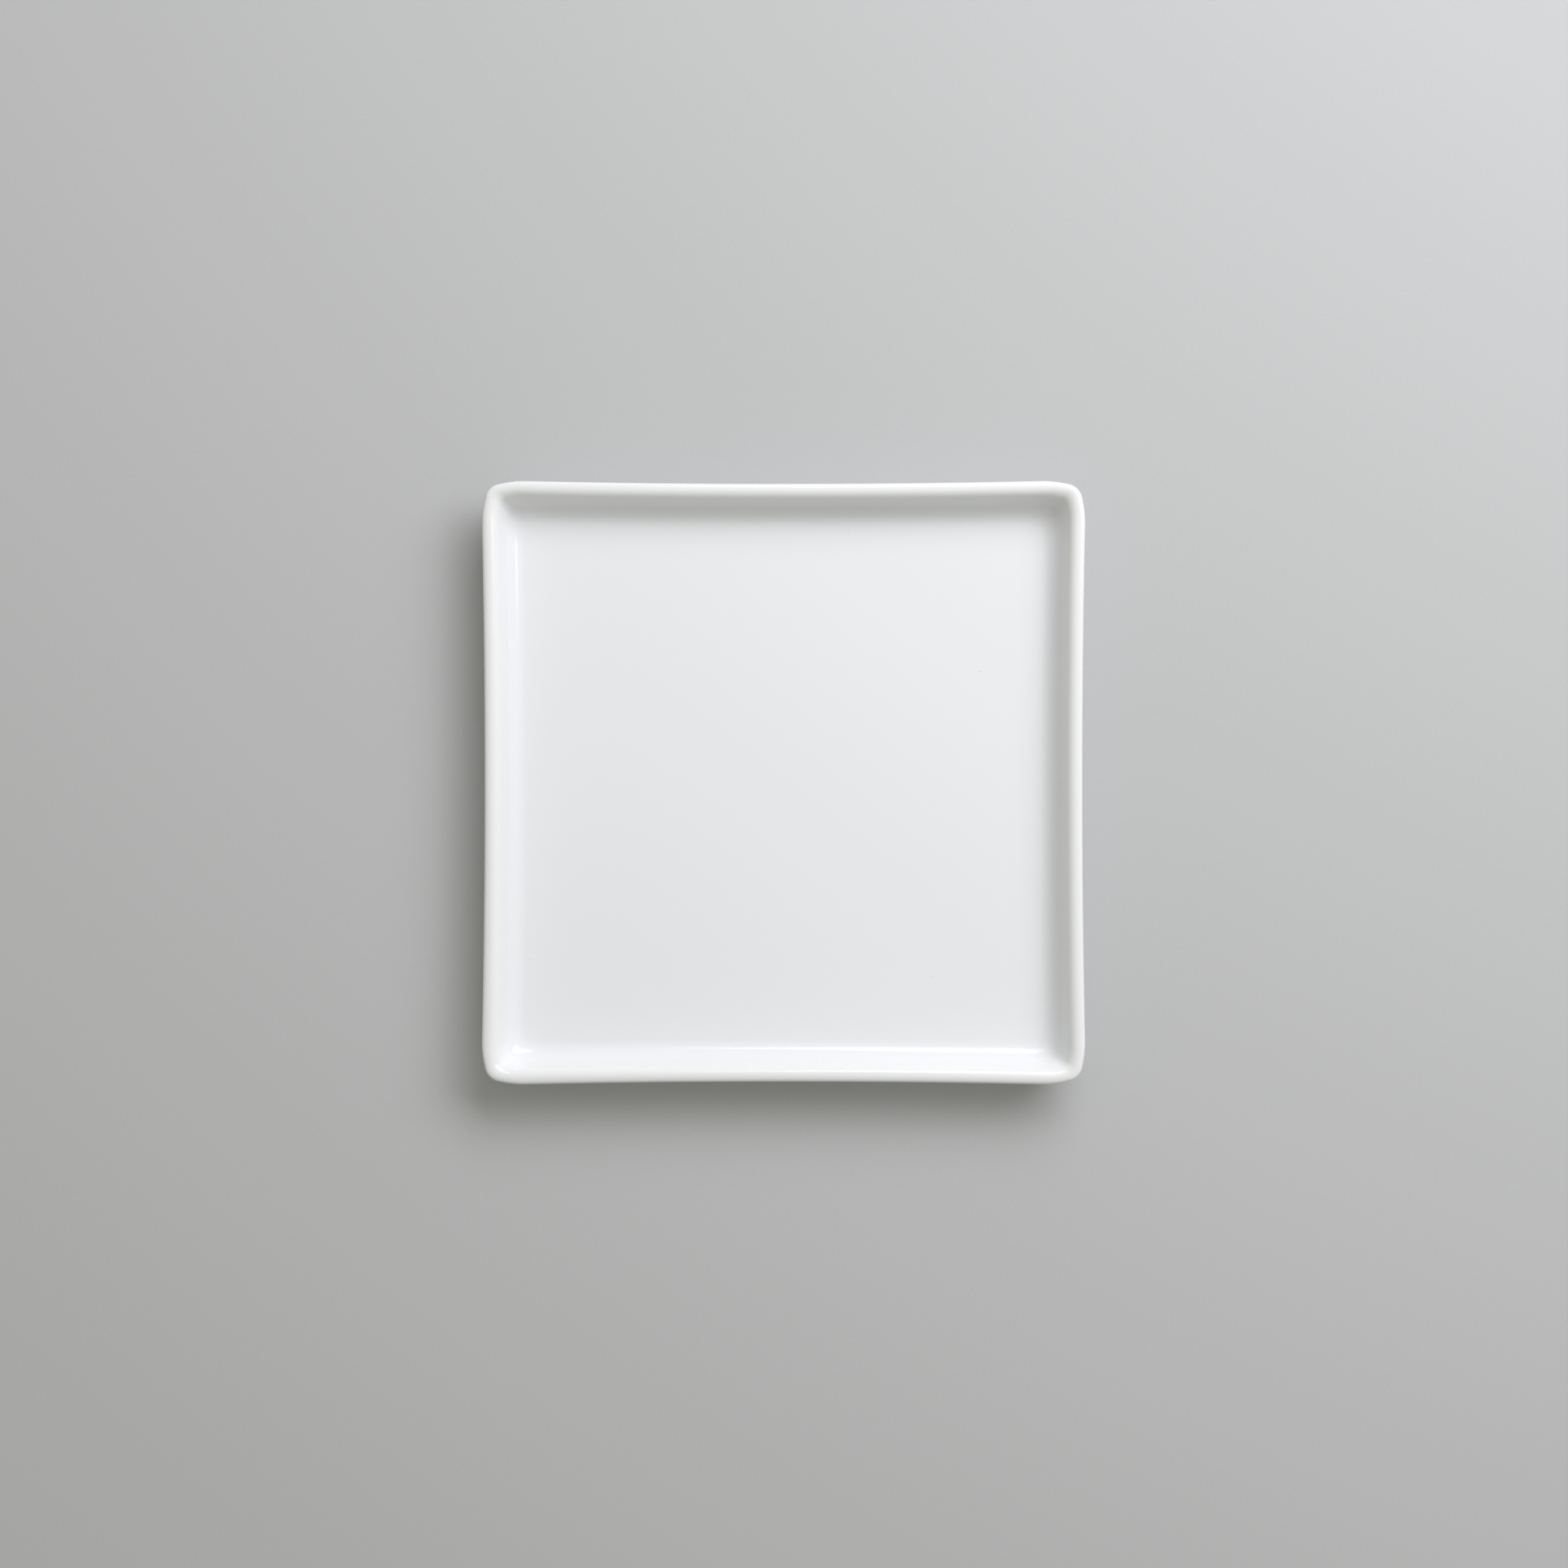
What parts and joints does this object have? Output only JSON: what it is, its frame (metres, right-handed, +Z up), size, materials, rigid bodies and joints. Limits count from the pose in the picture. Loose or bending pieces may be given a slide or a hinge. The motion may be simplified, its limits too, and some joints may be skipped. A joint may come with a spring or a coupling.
{
  "type": "square dinner plate",
  "caption": "Square glazed porcelain plate with low leaning walls that bow inwards, a rolled lip, eased corners, a flat well and a bare ground foot ring.",
  "frame": {"origin": "centre of the plate on the plane that its foot rests on", "axes": "+Z up out of the well; X and Y run square to the four sides, which are alike"},
  "size_m": [0.25, 0.25, 0.022],
  "materials": {
    "bare_porcelain": "fired and unglazed, ground flat on the foot, fine grain",
    "white_glaze": "smooth glossy white glaze",
    "underside_white_glaze": "glossy white glaze, a little wavier than on the well"
  },
  "bodies": {
    "root": {"porcelain_body": "bare_porcelain", "glaze_coat": "white_glaze", "underside_glaze": "underside_white_glaze"}
  },
  "joints": []
}
